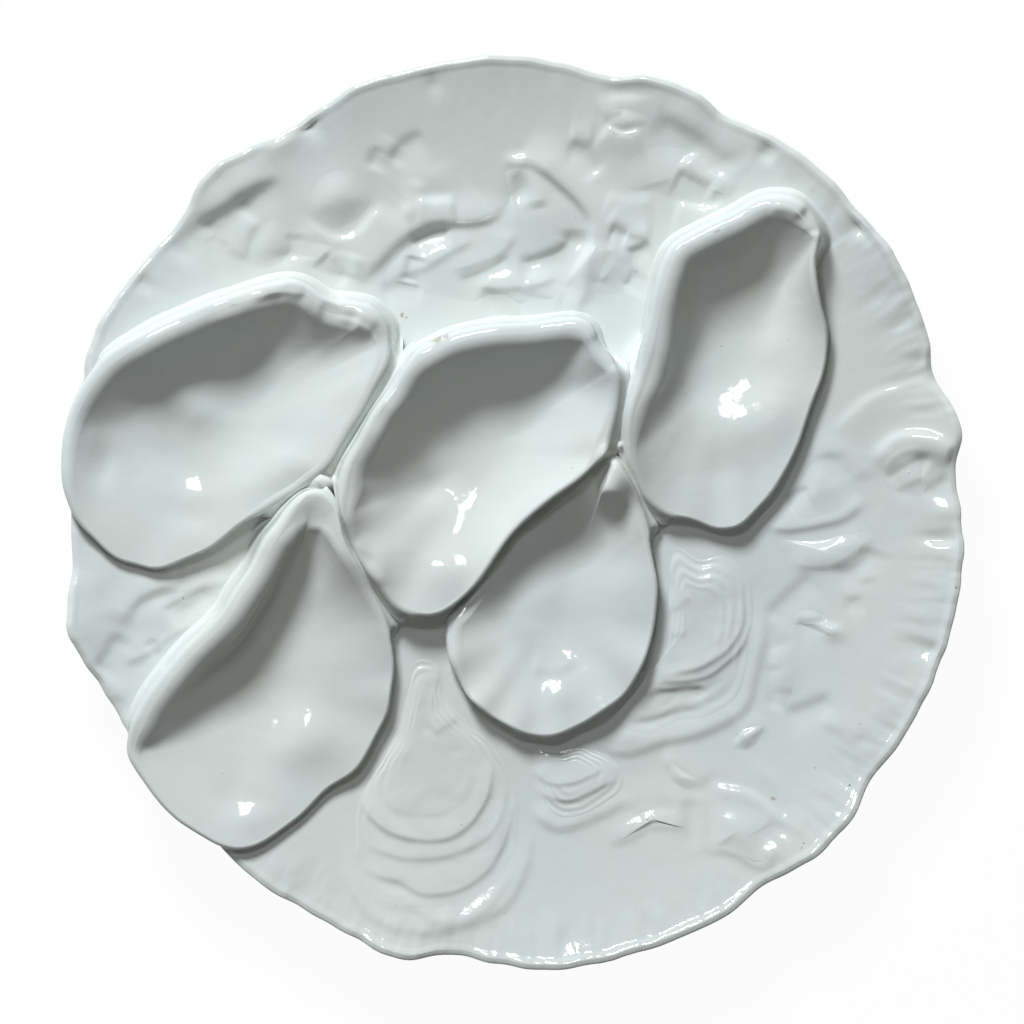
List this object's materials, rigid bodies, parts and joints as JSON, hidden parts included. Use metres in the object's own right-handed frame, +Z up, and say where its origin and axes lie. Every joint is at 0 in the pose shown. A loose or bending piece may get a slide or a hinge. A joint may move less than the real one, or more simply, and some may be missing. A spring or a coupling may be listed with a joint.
{
  "type": "oyster plate",
  "caption": "Round scalloped porcelain plate on a foot ring, with open oyster-shell cups luted on top among low shell, seaweed and wave reliefs.",
  "frame": {"origin": "centre of the plate's outline, in the plane of the foot ring's resting face", "axes": "+Z up out of the plate, +Y towards the plate's top edge with the curling wave, +X towards the shell cup on the right"},
  "size_m": [0.2214, 0.225, 0.0222],
  "materials": {
    "glazed_porcelain": "clear gloss glaze over white porcelain, pooled faintly grey-green in the hollows",
    "bare_foot": "glazed sides with a ground, unglazed resting edge"
  },
  "bodies": {
    "root": {"plate_body": "glazed_porcelain", "foot_ring": "bare_foot", "shell_cup_left": "glazed_porcelain", "shell_cup_centre": "glazed_porcelain", "shell_cup_right": "glazed_porcelain", "shell_cup_lower": "glazed_porcelain", "shell_cup_lower_left": "glazed_porcelain", "flat_shell_large": "glazed_porcelain", "flat_shell_right": "glazed_porcelain", "flat_shell_small": "glazed_porcelain", "curling_wave": "glazed_porcelain", "leaf_top_left": "glazed_porcelain", "bud_top_left": "glazed_porcelain", "fold_top_left": "glazed_porcelain", "leaf_top_right": "glazed_porcelain", "bud_top_right": "glazed_porcelain", "leaf_arrow": "glazed_porcelain", "scroll_right": "glazed_porcelain", "leaf_right": "glazed_porcelain", "crescent_right": "glazed_porcelain", "sprig_right": "glazed_porcelain", "leaf_twig": "glazed_porcelain", "leaf_drop": "glazed_porcelain", "bow_bud": "glazed_porcelain", "bow_leaf_left": "glazed_porcelain", "bow_leaf_right": "glazed_porcelain", "sprig_left": "glazed_porcelain"}
  },
  "joints": []
}
